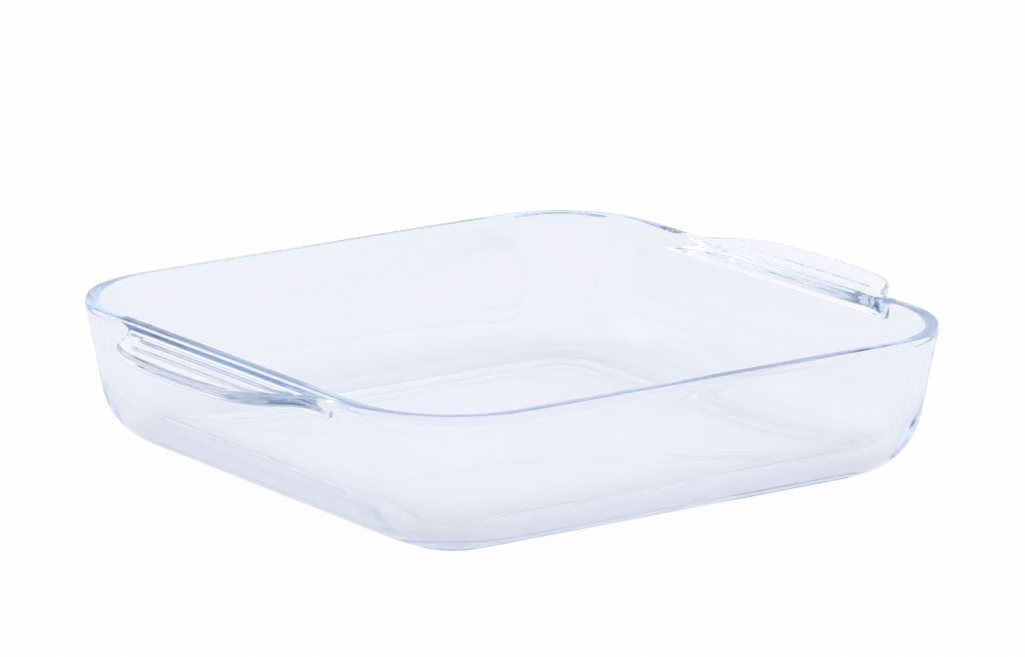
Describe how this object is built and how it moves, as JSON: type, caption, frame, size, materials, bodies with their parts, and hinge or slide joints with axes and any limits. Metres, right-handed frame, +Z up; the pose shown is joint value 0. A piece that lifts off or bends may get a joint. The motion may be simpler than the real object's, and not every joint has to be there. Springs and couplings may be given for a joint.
{
  "type": "square baking dish",
  "caption": "Clear glass square baking dish with rounded corners, leaning walls, a rounded rim and flat lug handles, ribbed underneath, on opposite sides.",
  "frame": {"origin": "middle of the face that the dish stands on, at table level", "axes": "+X out through the right handle, +Y towards a plain side, +Z up out of the dish's mouth"},
  "size_m": [0.276, 0.23, 0.052],
  "materials": {
    "glass": "clear, faintly blue, fire-polished gloss"
  },
  "bodies": {
    "root": {"base_panel": "glass", "side_wall": "glass", "rim": "glass", "left_handle": "glass", "right_handle": "glass"}
  },
  "joints": []
}
